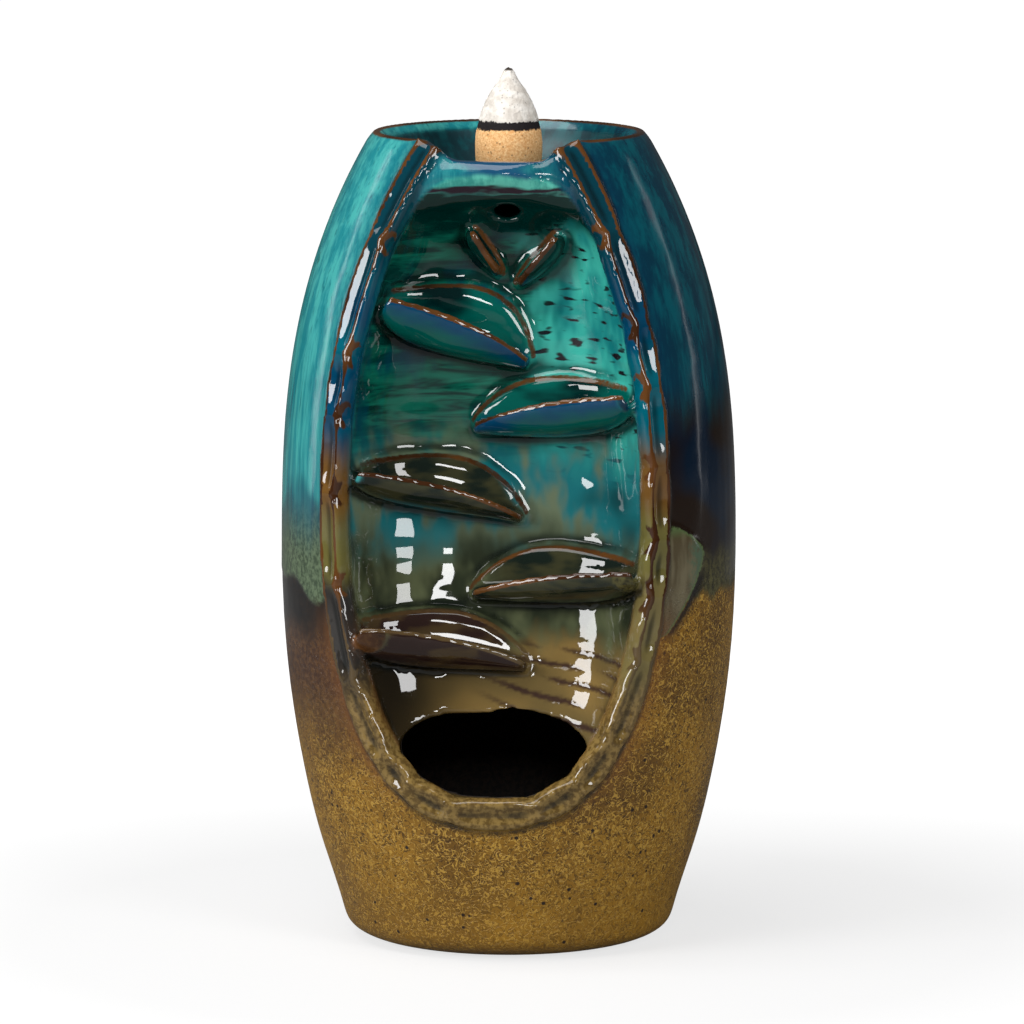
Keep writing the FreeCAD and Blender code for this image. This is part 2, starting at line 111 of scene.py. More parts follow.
# %% white surroundings and floor
world = bpy.data.worlds.new("white_room")
bpy.context.scene.world = world
world.use_nodes = True
room = world.node_tree
room.nodes.clear()
room_out = room.nodes.new("ShaderNodeOutputWorld")
room_light = room.nodes.new("ShaderNodeBackground")
room_seen = room.nodes.new("ShaderNodeBackground")
room_light.inputs["Color"].default_value = (1.0, 1.0, 1.0, 1.0)
room_light.inputs["Strength"].default_value = 0.06
room_seen.inputs["Color"].default_value = (1.0, 1.0, 1.0, 1.0)
room_mix = room.nodes.new("ShaderNodeMixShader")
room_path = room.nodes.new("ShaderNodeLightPath")
room.links.new(room_path.outputs["Is Camera Ray"], room_mix.inputs[0])
room.links.new(room_light.outputs[0], room_mix.inputs[1])
room.links.new(room_seen.outputs[0], room_mix.inputs[2])
room.links.new(room_mix.outputs[0], room_out.inputs[0])

bpy.ops.object.select_all(action="DESELECT")
bpy.ops.mesh.primitive_plane_add(size=12.0, location=(0.0, 2.0, -0.0002))
floor = bpy.context.object
floor.name = "floor"
bpy.ops.object.transform_apply(location=True, rotation=True, scale=True)
floor_finish = bpy.data.materials.new("white_floor")
floor_finish.use_nodes = True
floor_tree = floor_finish.node_tree
floor_shader = floor_tree.nodes["Principled BSDF"]
floor_shader.inputs["Base Color"].default_value = (0.25, 0.25, 0.25, 1.0)
floor_shader.inputs["Roughness"].default_value = 0.6
floor_shader.inputs["Specular IOR Level"].default_value = 0.1
floor_glow = floor_tree.nodes.new("ShaderNodeEmission")
floor_glow.inputs["Color"].default_value = (1.0, 1.0, 1.0, 1.0)
floor_path = floor_tree.nodes.new("ShaderNodeLightPath")
floor_place = floor_tree.nodes.new("ShaderNodeTexCoord")
floor_away = floor_tree.nodes.new("ShaderNodeVectorMath")
floor_away.operation = "LENGTH"
floor_tree.links.new(floor_place.outputs["Object"], floor_away.inputs[0])
floor_far = floor_tree.nodes.new("ShaderNodeMapRange")
floor_far.inputs["From Min"].default_value = 0.10
floor_far.inputs["From Max"].default_value = 0.27
floor_far.inputs["To Min"].default_value = 0.72
floor_far.inputs["To Max"].default_value = 1.0
floor_tree.links.new(floor_away.outputs["Value"], floor_far.inputs["Value"])
floor_level = floor_tree.nodes.new("ShaderNodeMath")
floor_level.operation = "MULTIPLY"
floor_tree.links.new(floor_far.outputs[0], floor_level.inputs[1])
floor_add = floor_tree.nodes.new("ShaderNodeAddShader")
floor_tree.links.new(floor_path.outputs["Is Camera Ray"], floor_level.inputs[0])
floor_tree.links.new(floor_level.outputs[0], floor_glow.inputs["Strength"])
floor_tree.links.new(floor_shader.outputs[0], floor_add.inputs[0])
floor_tree.links.new(floor_glow.outputs[0], floor_add.inputs[1])
floor_tree.links.new(floor_add.outputs[0], floor_tree.nodes["Material Output"].inputs[0])
floor.data.materials.append(floor_finish)
print("floor", [round(value, 2) for value in floor.dimensions])

# %% [markdown]
# The burner is one fired piece, so it stays one mesh. Molten glaze rounds every edge and
# fills every corner. That could be modelled edge by edge with bevels, but the ridge and
# the leaves were pressed on by hand and meet the body in no clean line. A copy of the
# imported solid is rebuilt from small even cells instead, and then relaxed a little, which
# rounds it as a coat of glaze does.

# %% copy, rebuild and relax the burner


def select_only(item):
    bpy.ops.object.select_all(action="DESELECT")
    item.hide_set(False)
    item.select_set(True)
    bpy.context.view_layer.objects.active = item


def glazed_copy(node, name, cell, relax_rounds, relax_share):
    """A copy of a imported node, rebuilt from cells of an even size and relaxed."""
    select_only(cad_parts[node])
    bpy.ops.object.duplicate()
    piece = bpy.context.object
    piece.name = name
    piece.data.name = name
    select_only(piece)
    bpy.ops.object.mode_set(mode="EDIT")
    bpy.ops.mesh.select_all(action="SELECT")
    bpy.ops.mesh.remove_doubles(threshold=0.000001)
    bpy.ops.object.mode_set(mode="OBJECT")
    rebuild = piece.modifiers.new("rebuild", "REMESH")
    rebuild.mode = "VOXEL"
    rebuild.voxel_size = cell
    bpy.ops.object.modifier_apply(modifier=rebuild.name)
    relax = piece.modifiers.new("relax", "SMOOTH")
    relax.iterations = relax_rounds
    relax.factor = relax_share
    bpy.ops.object.modifier_apply(modifier=relax.name)
    bpy.ops.object.shade_smooth()
    return piece


def places(piece):
    """The vertices of a piece, in millimetres."""
    flat = np.zeros(len(piece.data.vertices) * 3)
    piece.data.vertices.foreach_get("co", flat)
    return flat.reshape(-1, 3) * 1000.0


def put_back(piece, points):
    piece.data.vertices.foreach_set("co", (points / 1000.0).ravel())
    piece.data.update()


def triangles(piece):
    return sum(len(face.vertices) - 2 for face in piece.data.polygons)


fine_cell = 0.0007
burner = glazed_copy("burner", "burner_glazed", fine_cell, 4, 0.5)
print("burner triangles:", triangles(burner))

# %% [markdown]
# The patterns of the glaze follow the form: brown where it breaks over a crest or a rim,
# dark where it pools in a corner, other colours on the wall, the rock face and the
# leaves. The outlines of those forms are worked out here with the same curves as the
# solid, and each vertex gets a share of each form, which the materials then read.

# %% outlines of the forms
belly_radius, belly_height, body_height = 46.25, 80.0, 165.0
rim_radius, base_radius = 27.5, 31.7
recess_half, recess_middle, recess_low, recess_taper = 32.4, 90.0, 31.5, 92.5
lip_height, lip_rise, face_bend = 157.8, 15.5, 110.0
face_depth, foot_depth, lip_depth = 18.5, 39.6, 28.0


def wall_radius(level):
    above = np.clip((level - belly_height) / (body_height - belly_height), 0, 1)
    below = np.clip((belly_height - level) / belly_height, 0, 1)
    return np.where(
        level >= belly_height,
        belly_radius - (belly_radius - rim_radius) * above**2.7,
        belly_radius - (belly_radius - base_radius) * below**2.1,
    )


def recess_half_width(level):
    above = np.clip((level - recess_middle) / recess_taper, 0, 1)
    below = np.clip((recess_middle - level) / (recess_middle - recess_low), 0, 1)
    return recess_half * np.where(
        level >= recess_middle, 1 - above**2.4, (1 - below**2) ** 0.378
    )


def ease(value, start, end):
    """Smoothly from 0 at start to 1 at end."""
    share = np.clip((value - start) / (end - start), 0, 1)
    return share * share * (3 - 2 * share)


def rock_depth(across, level):
    """Distance from the axis plane forward to the rock face."""
    share = np.clip((face_bend - level) / (face_bend - recess_low), 0, 1)
    rise = ease(level, lip_height - lip_rise, lip_height)
    middle_depth = face_depth + (foot_depth - face_depth) * share**2
    middle_depth = middle_depth + (lip_depth - face_depth) * rise
    middle_depth = middle_depth + 1.3 * np.exp(-(((level - lip_height) / 1.7) ** 2))
    half = recess_half_width(level) - 1.0
    edge = np.sqrt(np.maximum(wall_radius(level) ** 2 - half**2, 1.0)) + 1.2
    power = 4.0 - 2.0 * rise
    return middle_depth + (edge - middle_depth) * np.minimum(1, np.abs(across) / half) ** power


print("wall radius at the belly:", float(wall_radius(np.array(80.0))))

# %% [markdown]
# The middle line of the ridge is a chain of points round the carved front. The distance
# from each vertex to that chain tells what belongs to the ridge, and where along it the
# vertex lies.

# %% distance to the ridge
half_turn = 0.53
along_ridge = np.linspace(0, 1, 361)
ridge_side = np.where(along_ridge < 0.5, -1.0, 1.0)
from_foot = np.abs(2 * along_ridge - 1)
ridge_level = np.where(
    from_foot > half_turn,
    recess_middle + (body_height - 1 - recess_middle) * (from_foot - half_turn) / (1 - half_turn),
    recess_middle
    - (recess_middle - recess_low)
    * np.cos(np.radians(90) * np.minimum(from_foot, half_turn) / half_turn),
)
ridge_across = ridge_side * recess_half_width(ridge_level)
ridge_out = np.sqrt(wall_radius(ridge_level) ** 2 - ridge_across**2)
ridge_line = np.stack([ridge_across, -ridge_out, ridge_level], axis=1)


def distance_to(points, line):
    """Distance from each point to the nearest place of a line given by many places."""
    nearest = np.full(len(points), 99.0)
    in_reach = np.flatnonzero((points[:, 1] < 0) & (np.abs(points[:, 0]) < 42))
    for start in range(0, len(in_reach), 4000):
        chosen = in_reach[start : start + 4000]
        gap = np.linalg.norm(points[chosen][:, None, :] - line[None, :, :], axis=2)
        nearest[chosen] = gap.min(axis=1)
    return nearest


print("ridge line:", round(float(np.linalg.norm(np.diff(ridge_line, axis=0), axis=1).sum())), "mm")

# %% [markdown]
# The fine cells are wanted where the ridge, the leaves, the rim and the edges of the
# drips show. The rest of the wall, the inner chamber and the underside are smooth, so
# they get fewer.

# %% fewer cells where the form is smooth
points = places(burner)
x, y, z = points.T
behind_face = (np.hypot(x, y) < wall_radius(z) - 3.5) & (-y < rock_depth(x, z) - 3.0) & (z < 147.0)
in_recess = (y < 0) & (np.abs(x) < recess_half_width(z) + 1.0) & (z > 34.0)
carved = in_recess | (distance_to(points, ridge_line) < 5.6)
drips_here = (z > 69.0) & (z < 84.0) & (x < -15.0) | (x > 30.0) & (y < 0) & (z > 66.0) & (z < 102.0)
coarse = behind_face | ~(carved | drips_here | (z > 151.0))
smooth_part = burner.vertex_groups.new(name="smooth_part")
smooth_part.add(np.flatnonzero(coarse).tolist(), 1.0, "REPLACE")
fewer = burner.modifiers.new("fewer", "DECIMATE")
triangles_kept = 194000
fewer.ratio = triangles_kept / triangles(burner)
fewer.vertex_group = "smooth_part"
select_only(burner)
bpy.ops.object.modifier_apply(modifier=fewer.name)
print("burner triangles:", triangles(burner))

# %% [markdown]
# Each leaf dish has a front rim, where the glaze runs thin, and a back rim against the
# rock. Both lines follow from the leaf's tip, its pouring end and its arch.

# %% rims of the leaves
leaf_forms = {
    "petal_left": (-0.15, 0.867, 0.02, 0.795, 6.5, 0.4, 0.5),
    "petal_right": (0.35, 0.861, 0.09, 0.781, 7.6, 0.4, 0.5),
    "leaf_first": (-0.65, 0.772, 0.20, 0.672, 12.8, 6.0, 5.0),
    "leaf_second": (0.81, 0.631, -0.17, 0.574, 13.2, 3.6, 4.0),
    "leaf_third": (-0.84, 0.513, 0.16, 0.436, 13.5, 4.5, 5.0),
    "leaf_fourth": (0.87, 0.369, -0.17, 0.324, 13.5, 4.3, 3.5),
    "leaf_fifth": (-0.82, 0.281, 0.20, 0.221, 12.8, 3.5, 5.0),
}


def leaf_rims(tip_side, tip_level, spout_side, spout_level, reach, rise, arch):
    """Places along the front and the back rim of a leaf dish, from its tip on."""
    share = np.linspace(0, 1, 61)
    run_across = recess_half * (spout_side - tip_side)
    run_up = (body_height - recess_low) * (spout_level - tip_level)
    up = np.array([-run_up, run_across]) / math.hypot(run_across, run_up)
    up = up if up[1] > 0 else -up
    lift = arch * (share - share**3)
    side = recess_half * tip_side + run_across * share + up[0] * lift
    tall = recess_low + (body_height - recess_low) * tip_level + run_up * share + up[1] * lift
    fullness = np.sin(math.pi * (0.14 + 0.8 * share**0.75)) ** 0.75
    out = reach * (0.22 + 0.78 * fullness)
    rock = rock_depth(side, tall)
    back_lift = rise * np.sin(math.pi * np.minimum(share**1.3, 1)) ** 0.8
    front = np.stack([side, -(rock + out - 0.9), tall + 0.2], axis=1)
    back = np.stack([side + up[0] * back_lift, -(rock + 0.1 * out), tall + up[1] * back_lift], axis=1)
    return front, back


rims = [leaf_rims(*form) for form in leaf_forms.values()]
front_rims = np.concatenate([front for front, back in rims])
back_rims = np.concatenate([back for front, back in rims])
print("places on the rims:", len(front_rims) + len(back_rims))

# %% [markdown]
# The cells leave small steps along these thin rims, which glaze would have covered. Only
# the rims are relaxed further.

# %% rims relaxed
points = places(burner)
by_rims = np.minimum(distance_to(points, front_rims), distance_to(points, back_rims)) < 2.1
rim_part = burner.vertex_groups.new(name="rims")
rim_part.add(np.flatnonzero(by_rims).tolist(), 1.0, "REPLACE")
soften = burner.modifiers.new("soften", "SMOOTH")
soften.iterations = 18
soften.factor = 0.5
soften.vertex_group = "rims"
select_only(burner)
bpy.ops.object.modifier_apply(modifier=soften.name)
print("vertices by the rims:", int(by_rims.sum()))

# %% [markdown]
# How strongly the surface bulges is found from the mesh: where a vertex stands out from
# the mean of its neighbours, glaze runs thin and the body shows through brown, and where
# it lies behind them, glaze pools dark.

# %% bulge of the surface


def mesh_edges(piece):
    pairs = np.zeros(len(piece.data.edges) * 2, dtype=np.int64)
    piece.data.edges.foreach_get("vertices", pairs)
    return pairs.reshape(-1, 2)


def neighbour_mean(values, pairs, count):
    total = np.zeros((count,) + values.shape[1:])
    number = np.zeros(count)
    for own, other in ((0, 1), (1, 0)):
        np.add.at(total, pairs[:, own], values[pairs[:, other]])
        np.add.at(number, pairs[:, own], 1.0)
    number = np.maximum(number, 1.0)
    return total / (number[:, None] if values.ndim > 1 else number)


def outward(piece):
    flat = np.zeros(len(piece.data.vertices) * 3)
    piece.data.vertices.foreach_get("normal", flat)
    return flat.reshape(-1, 3)


def bulge(piece, rounds):
    """How far the surface stands out from its surroundings, in millimetres, smoothed."""
    pairs = mesh_edges(piece)
    points = places(piece)
    around = points
    for _ in range(rounds):
        around = neighbour_mean(around, pairs, len(points))
    stand = ((points - around) * outward(piece)).sum(axis=1)
    for _ in range(2):
        stand = 0.5 * stand + 0.5 * neighbour_mean(stand, pairs, len(points))
    return stand


def keep_share(piece, name, values):
    """Store one number a vertex under a name that materials can read."""
    layer = piece.data.attributes.new(name, "FLOAT", "POINT")
    layer.data.foreach_set("value", values.astype(np.float32))


points = places(burner)
stand = bulge(burner, 6)
x, y, z = points.T
radius = np.hypot(x, y)
to_ridge = distance_to(points, ridge_line)
to_front_rim = distance_to(points, front_rims)
to_back_rim = distance_to(points, back_rims)
thin_end = np.where(np.abs(x) < recess_half_width(z), 2.7, 2.8)
thin_line = ease(to_ridge, 2.1, 2.4) * (1 - ease(to_ridge, thin_end, thin_end + 0.4))
thin_line = thin_line * ease(stand, 0.05, 0.13)
thin_line = np.maximum(thin_line, 1 - ease(to_front_rim, 1.1, 1.9))
thin_line = np.maximum(thin_line, 0.6 * (1 - ease(to_back_rim, 0.5, 1.3)))
on_ridge = 1 - ease(to_ridge, 3.0, 4.0)
in_front = (np.abs(x) < recess_half_width(z) - 0.5) & (y < 0) & (z > recess_low)
outside = ease(radius - wall_radius(z), -1.6, -0.9)
recess = np.where(in_front, 1 - outside, 0.0) * (1 - on_ridge)
stands_out = -y - rock_depth(x, z)
leaf = recess * ease(stands_out, 1.0, 1.8) * (1 - ease(z, 149.0, 151.0))
inside = (radius < wall_radius(z) - 3.9) & (-y < rock_depth(x, z) - 3.6) & (z < 146.0)
basin = ease(z, 153.2, 153.8) * (1 - ease(radius, 24.6, 25.2)) * (y > -24)
tongue_below = 7.6 * (np.maximum(82 - z, 0) / 16.5) ** 1.6
tongue_above = 7.1 * (np.maximum(z - 82, 0) / 8) ** 1.7
tongue_edge = 41.1 - tongue_below - tongue_above - x
by_tongue = (x > 30) * (y < 0) * outside
tongue = ease(tongue_edge, -0.7, 0.9) * ease(z, 65.5, 67) * (1 - ease(z, 84, 92)) * by_tongue
outline = ease(tongue_edge, -2.4, -0.6) * (1 - ease(tongue_edge, -0.4, 0.4)) * by_tongue
outline = outline * (1 - ease(z, 76, 81)) * ease(z, 65, 67)
turned = np.arctan2(x, -y)
drip_edge = 74.6 + 1.7 * np.sin(9 * turned + 0.4) + 1.2 * np.sin(17 * turned + 1.3)
dripped = ease(z - drip_edge, -0.5, 0.5)
bands = np.sin(2 * np.pi * (0.29 * z + 0.07 * x) + 1.1 * np.sin(0.21 * x) + 0.9 * np.sin(0.31 * z))
broken = 0.5 + 0.5 * np.sin(0.42 * x + 0.9 * z)
strata = ease(bands, 0.35, 0.85) * ease(broken, 0.02, 0.30) * ease(x, -6, 4) * (1 - ease(x, 25, 29))
strata = strata * recess * (1 - leaf) * (1 - ease(z, 61, 67))
lift = 0.15 * dripped * np.exp(-np.maximum(z - drip_edge, 0) / 4) * (1 - ease(x, -24, -8)) * outside
lift = lift + 0.25 * tongue - 0.20 * strata
put_back(burner, points + outward(burner) * lift[:, None])
shares = {
    "tongue": tongue,
    "outline": outline,
    "dripped": dripped,
    "strata": strata,
    "below_rim": np.clip(to_front_rim / 10, 0, 1),
    "thin_line": thin_line,
    "crest": np.clip(stand / 0.35, -1, 1),
    "ridge": on_ridge,
    "near_ridge": np.exp(-np.maximum(to_ridge - 3.0, 0) / 2.6),
    "recess": recess,
    "leaf": leaf,
    "chamber": inside.astype(float),
    "basin": basin,
}
for name, values in shares.items():
    keep_share(burner, name, values)
print("bulge from", round(float(stand.min()), 2), "to", round(float(stand.max()), 2), "mm")

# %% [markdown]
# The glaze is painted in zones, one above the other, that run into each other. Node
# trees for that get long, so a few helpers add a node, set it and link it in one line.

# %% helpers for node trees


def plug(tree, source, socket):
    """Link a socket, or set a plain value."""
    if isinstance(source, bpy.types.NodeSocket):
        tree.links.new(source, socket)
    else:
        socket.default_value = source


def maths(tree, operation, first, second=None, third=None):
    node = tree.nodes.new("ShaderNodeMath")
    node.operation = operation
    for index, value in enumerate((first, second, third)):
        if value is not None:
            plug(tree, value, node.inputs[index])
    return node.outputs[0]


def between(tree, value, low, high):
    """0 below low and 1 above high, with a smooth change between."""
    node = tree.nodes.new("ShaderNodeMapRange")
    node.interpolation_type = "SMOOTHSTEP"
    plug(tree, value, node.inputs["Value"])
    plug(tree, low, node.inputs["From Min"])
    plug(tree, high, node.inputs["From Max"])
    return node.outputs["Result"]


def blend(tree, share, first, second):
    node = tree.nodes.new("ShaderNodeMix")
    node.data_type = "RGBA"
    plug(tree, share, node.inputs[0])
    plug(tree, first, node.inputs[6])
    plug(tree, second, node.inputs[7])
    return node.outputs[2]


def clouds(tree, vector, scale, detail=3.0, roughness=0.5, distortion=0.0):
    node = tree.nodes.new("ShaderNodeTexNoise")
    plug(tree, vector, node.inputs["Vector"])
    node.inputs["Scale"].default_value = scale
    node.inputs["Detail"].default_value = detail
    node.inputs["Roughness"].default_value = roughness
    node.inputs["Distortion"].default_value = distortion
    return node.outputs[0]


def stretch(tree, vector, scale, turn=(0.0, 0.0, 0.0), shift=(0.0, 0.0, 0.0)):
    node = tree.nodes.new("ShaderNodeMapping")
    plug(tree, vector, node.inputs["Vector"])
    node.inputs["Scale"].default_value = scale
    node.inputs["Rotation"].default_value = turn
    node.inputs["Location"].default_value = shift
    return node.outputs[0]


def share_of(tree, name):
    node = tree.nodes.new("ShaderNodeAttribute")
    node.attribute_name = name
    return node.outputs["Fac"]


def millimetres(tree):
    """Object coordinates in millimetres, whole and apart."""
    place = tree.nodes.new("ShaderNodeTexCoord")
    whole = stretch(tree, place.outputs["Object"], (1000.0, 1000.0, 1000.0))
    apart = tree.nodes.new("ShaderNodeSeparateXYZ")
    tree.links.new(whole, apart.inputs[0])
    return whole, apart.outputs[0], apart.outputs[1], apart.outputs[2]


print("helpers ready")

# %% [markdown]
# Two small effects are used by more than one finish, so each is a node group: fine
# specks, as in fired clay or pressed powder, and the worm like crystals that grow in the
# mustard glaze where it cools slowly.

# %% shared effects


def effect_group(name, inputs, output, kind):
    group = bpy.data.node_groups.new(name, "ShaderNodeTree")
    group.interface.new_socket("Vector", in_out="INPUT", socket_type="NodeSocketVector")
    for title, value in inputs:
        socket = group.interface.new_socket(title, in_out="INPUT", socket_type="NodeSocketFloat")
        socket.default_value = value
    group.interface.new_socket(output, in_out="OUTPUT", socket_type=kind)
    entry = group.nodes.new("NodeGroupInput")
    leave = group.nodes.new("NodeGroupOutput")
    return group, entry, leave


speck_group, speck_in, speck_out = effect_group(
    "fine_specks", [("Scale", 1.0), ("Share", 0.12)], "Mask", "NodeSocketFloat"
)
speck_cells = speck_group.nodes.new("ShaderNodeTexVoronoi")
speck_group.links.new(speck_in.outputs["Vector"], speck_cells.inputs["Vector"])
speck_group.links.new(speck_in.outputs["Scale"], speck_cells.inputs["Scale"])
speck_tone = speck_group.nodes.new("ShaderNodeSeparateColor")
speck_group.links.new(speck_cells.outputs["Color"], speck_tone.inputs[0])
speck_chosen = maths(speck_group, "LESS_THAN", speck_tone.outputs[0], speck_in.outputs["Share"])
speck_near = between(speck_group, speck_cells.outputs["Distance"], 0.42, 0.22)
speck_mask = maths(speck_group, "MULTIPLY", speck_chosen, speck_near)
speck_group.links.new(speck_mask, speck_out.inputs[0])

worm_group, worm_in, worm_out = effect_group(
    "worm_crystals", [("Scale", 0.9)], "Mask", "NodeSocketFloat"
)
worm_noise = worm_group.nodes.new("ShaderNodeTexNoise")
worm_group.links.new(worm_in.outputs["Vector"], worm_noise.inputs["Vector"])
worm_group.links.new(worm_in.outputs["Scale"], worm_noise.inputs["Scale"])
worm_noise.inputs["Detail"].default_value = 1.0
worm_noise.inputs["Distortion"].default_value = 1.2
worm_apart = maths(worm_group, "ABSOLUTE", maths(worm_group, "SUBTRACT", worm_noise.outputs[0], 0.5))
worm_mask = between(worm_group, worm_apart, 0.055, 0.015)
worm_group.links.new(worm_mask, worm_out.inputs[0])


def effect(tree, group, vector, **values):
    node = tree.nodes.new("ShaderNodeGroup")
    node.node_tree = group
    plug(tree, vector, node.inputs["Vector"])
    for title, value in values.items():
        plug(tree, value, node.inputs[title.capitalize()])
    return node.outputs[0]


print("groups:", [group.name for group in bpy.data.node_groups])

# %% [markdown]
# The glaze of the burner. The wall is worked out first: turquoise brushed downwards, lighter on the left
# and deeper on the right, partly the glaze and partly painted light on the left and painted shade on the
# right, then a dark iron band, and mustard below. The heights at which the zones change differ left and
# right, and their edges run down in drips.

# %% glaze of the burner: where each zone begins
glaze = bpy.data.materials.new("reactive_glaze")
glaze.use_nodes = True
tree = glaze.node_tree
shader = tree.nodes["Principled BSDF"]
whole, across, _, level = millimetres(tree)

broad = clouds(tree, whole, 0.045, 2.0)
fine = clouds(tree, whole, 0.9, 4.0, 0.6)
drips = clouds(tree, stretch(tree, whole, (0.16, 0.16, 0.012)), 1.0, 3.0, 0.6)
brushed = clouds(tree, stretch(tree, whole, (0.34, 0.34, 0.022)), 1.0, 4.0, 0.65)
hair = clouds(tree, stretch(tree, whole, (1.3, 1.3, 0.05)), 1.0, 3.0, 0.6)
to_right = between(tree, across, -24.0, 24.0)
wobble = maths(tree, "MULTIPLY_ADD", drips, 9.0, -4.5)
worn = maths(tree, "MULTIPLY_ADD", fine, 2.4, -1.2)
run_level = maths(tree, "ADD", maths(tree, "ADD", level, wobble), worn)


def above(border, soft, own=None):
    """1 above a border at a height in mm that is as soft as stated."""
    value = run_level if own is None else own
    return between(tree, value, border - soft, border + soft)


def stack(lowest, layers):
    """Colours laid over each other, each from its own border upwards."""
    result = lowest
    for border, soft, tone in layers:
        result = blend(tree, above(border, soft), result, tone)
    return result


print("zones laid out")

# %% the wall: turquoise over olive over iron over mustard
teal_bright = shade(70, 172, 168)
teal_wet = shade(28, 132, 140)
teal_deep = shade(0, 84, 96)
teal_night = shade(0, 52, 70)
blue_deep = shade(2, 46, 78)
blue_night = shade(2, 24, 44)
# The left is painted lighter as painted light and the right deeper as painted shade, over the glaze's own
# change of tone.
teal_lit_left = blend(tree, between(tree, brushed, 0.38, 0.62), teal_wet, teal_bright)
teal_shaded_right = blend(tree, between(tree, brushed, 0.40, 0.64), teal_night, teal_deep)
turquoise = blend(tree, to_right, teal_lit_left, teal_shaded_right)
hair_share = maths(tree, "MULTIPLY", between(tree, hair, 0.56, 0.74), 0.6)
turquoise = blend(tree, hair_share, turquoise, teal_deep)
blue_lower = maths(tree, "SUBTRACT", 1.0, between(tree, run_level, 88.0, 124.0))
blue_patch = maths(tree, "MULTIPLY", blue_lower, between(tree, broad, 0.42, 0.58))
turquoise = blend(tree, maths(tree, "MULTIPLY", blue_patch, 0.7), turquoise, blue_deep)
by_ridge = maths(tree, "MULTIPLY", share_of(tree, "near_ridge"), 0.8)
turquoise = blend(tree, by_ridge, turquoise, blue_deep)

mustard_brown = shade(104, 72, 14)
mustard_gold = shade(152, 110, 26)
mustard_pale = shade(196, 154, 64)
mustard_dark = shade(58, 36, 4)
mustard = blend(tree, between(tree, broad, 0.35, 0.65), mustard_brown, mustard_gold)
grain_dark = effect(tree, worm_group, whole, scale=0.6)
moved_on = stretch(tree, whole, (1.0, 1.0, 1.0), shift=(9.0, 4.0, 7.0))
grain_light = effect(tree, worm_group, moved_on, scale=0.75)
mustard = blend(tree, maths(tree, "MULTIPLY", grain_dark, 0.8), mustard, mustard_dark)
mustard = blend(tree, maths(tree, "MULTIPLY", grain_light, 0.75), mustard, mustard_pale)
foot_gold = maths(tree, "SUBTRACT", 1.0, between(tree, level, 2.0, 26.0))
mustard = blend(tree, maths(tree, "MULTIPLY", foot_gold, 0.4), mustard, mustard_gold)
pits = effect(tree, speck_group, whole, scale=0.8, share=0.03)
mustard = blend(tree, pits, mustard, shade(34, 20, 8))

rust = blend(tree, between(tree, fine, 0.4, 0.66), shade(60, 36, 20), shade(94, 64, 34))
iron = blend(tree, between(tree, fine, 0.4, 0.7), shade(10, 9, 8), shade(30, 22, 15))
olive = blend(tree, between(tree, fine, 0.35, 0.65), shade(58, 74, 54), shade(98, 116, 88))
olive_dark = blend(tree, between(tree, fine, 0.35, 0.65), shade(44, 42, 20), shade(84, 80, 44))
night = blend(tree, between(tree, broad, 0.45, 0.60), shade(30, 18, 9), blue_night)
left_wall = stack(mustard, [(44, 13, rust), (65, 4, iron)])
left_wall = blend(tree, share_of(tree, "dripped"), left_wall, olive)
left_wall = blend(tree, above(87, 7), left_wall, turquoise)
right_wall = stack(mustard, [(73, 1.2, olive_dark), (81, 2.5, night), (112, 7, turquoise)])
wall = blend(tree, to_right, left_wall, right_wall)
above_left = above(60, 10)
right_more = maths(tree, "SUBTRACT", above(75, 2), above_left)
above_mustard = maths(tree, "MULTIPLY_ADD", to_right, right_more, above_left)
print("wall colours mixed")

# %% [markdown]
# The rock face was brushed across and the glaze pooled there. It is green black high on the left and bright
# turquoise high on the right, partly the glaze and partly painted shade on the left and painted light on
# the right. It is mottled blue and olive in the middle, and mustard with brown strata near the opening,
# with a painted shadow over the left of that. Below the lip it is painted dark as shade under the overhang,
# with a painted shadow line, and the lip's top is painted blue as a reflection.

# %% the rock face
brushed_across = stretch(tree, whole, (0.06, 0.06, 0.42), turn=(0.0, 0.12, 0.0))
strokes = clouds(tree, brushed_across, 1.0, 3.0, 0.6, 0.4)
short_marks = stretch(tree, whole, (0.22, 0.22, 0.75), turn=(0.0, -0.35, 0.0))
dashes = clouds(tree, short_marks, 1.0, 1.0, 0.5)
pools = clouds(tree, stretch(tree, whole, (0.09, 0.09, 0.045)), 1.0, 3.0, 0.6)
pooled_across = maths(tree, "MULTIPLY_ADD", pools, 24.0, maths(tree, "ADD", across, -12.0))
# Green on the left is partly painted shade, and turquoise on the right is partly painted light.
lit_right = between(tree, pooled_across, 2.0, 14.0)
face_green_shaded = blend(tree, between(tree, strokes, 0.38, 0.62), shade(0, 48, 42), shade(14, 104, 84))
face_green_shaded = blend(tree, between(tree, pools, 0.5, 0.7), face_green_shaded, shade(4, 58, 76))
face_bright_lit = blend(tree, between(tree, pools, 0.36, 0.6), shade(18, 118, 120), shade(64, 182, 166))
face_bright_lit = blend(tree, between(tree, dashes, 0.60, 0.70), face_bright_lit, shade(26, 18, 26))
face_top = blend(tree, lit_right, face_green_shaded, face_bright_lit)
face_mottled = blend(tree, between(tree, pools, 0.4, 0.56), shade(100, 112, 88), shade(26, 106, 112))
face_mottled = blend(tree, between(tree, broad, 0.5, 0.62), face_mottled, shade(20, 66, 70))
face_olive = blend(tree, between(tree, pools, 0.4, 0.65), shade(40, 46, 32), shade(88, 94, 66))
face_low = blend(tree, between(tree, broad, 0.4, 0.6), shade(98, 82, 48), shade(128, 104, 58))
face_low = blend(tree, maths(tree, "MULTIPLY", share_of(tree, "strata"), 0.85), face_low, shade(46, 28, 30))
shadow_left = maths(tree, "SUBTRACT", 1.0, between(tree, across, -22.0, 4.0))
face_low = blend(tree, maths(tree, "MULTIPLY", shadow_left, 0.94), face_low, shade(12, 9, 5))

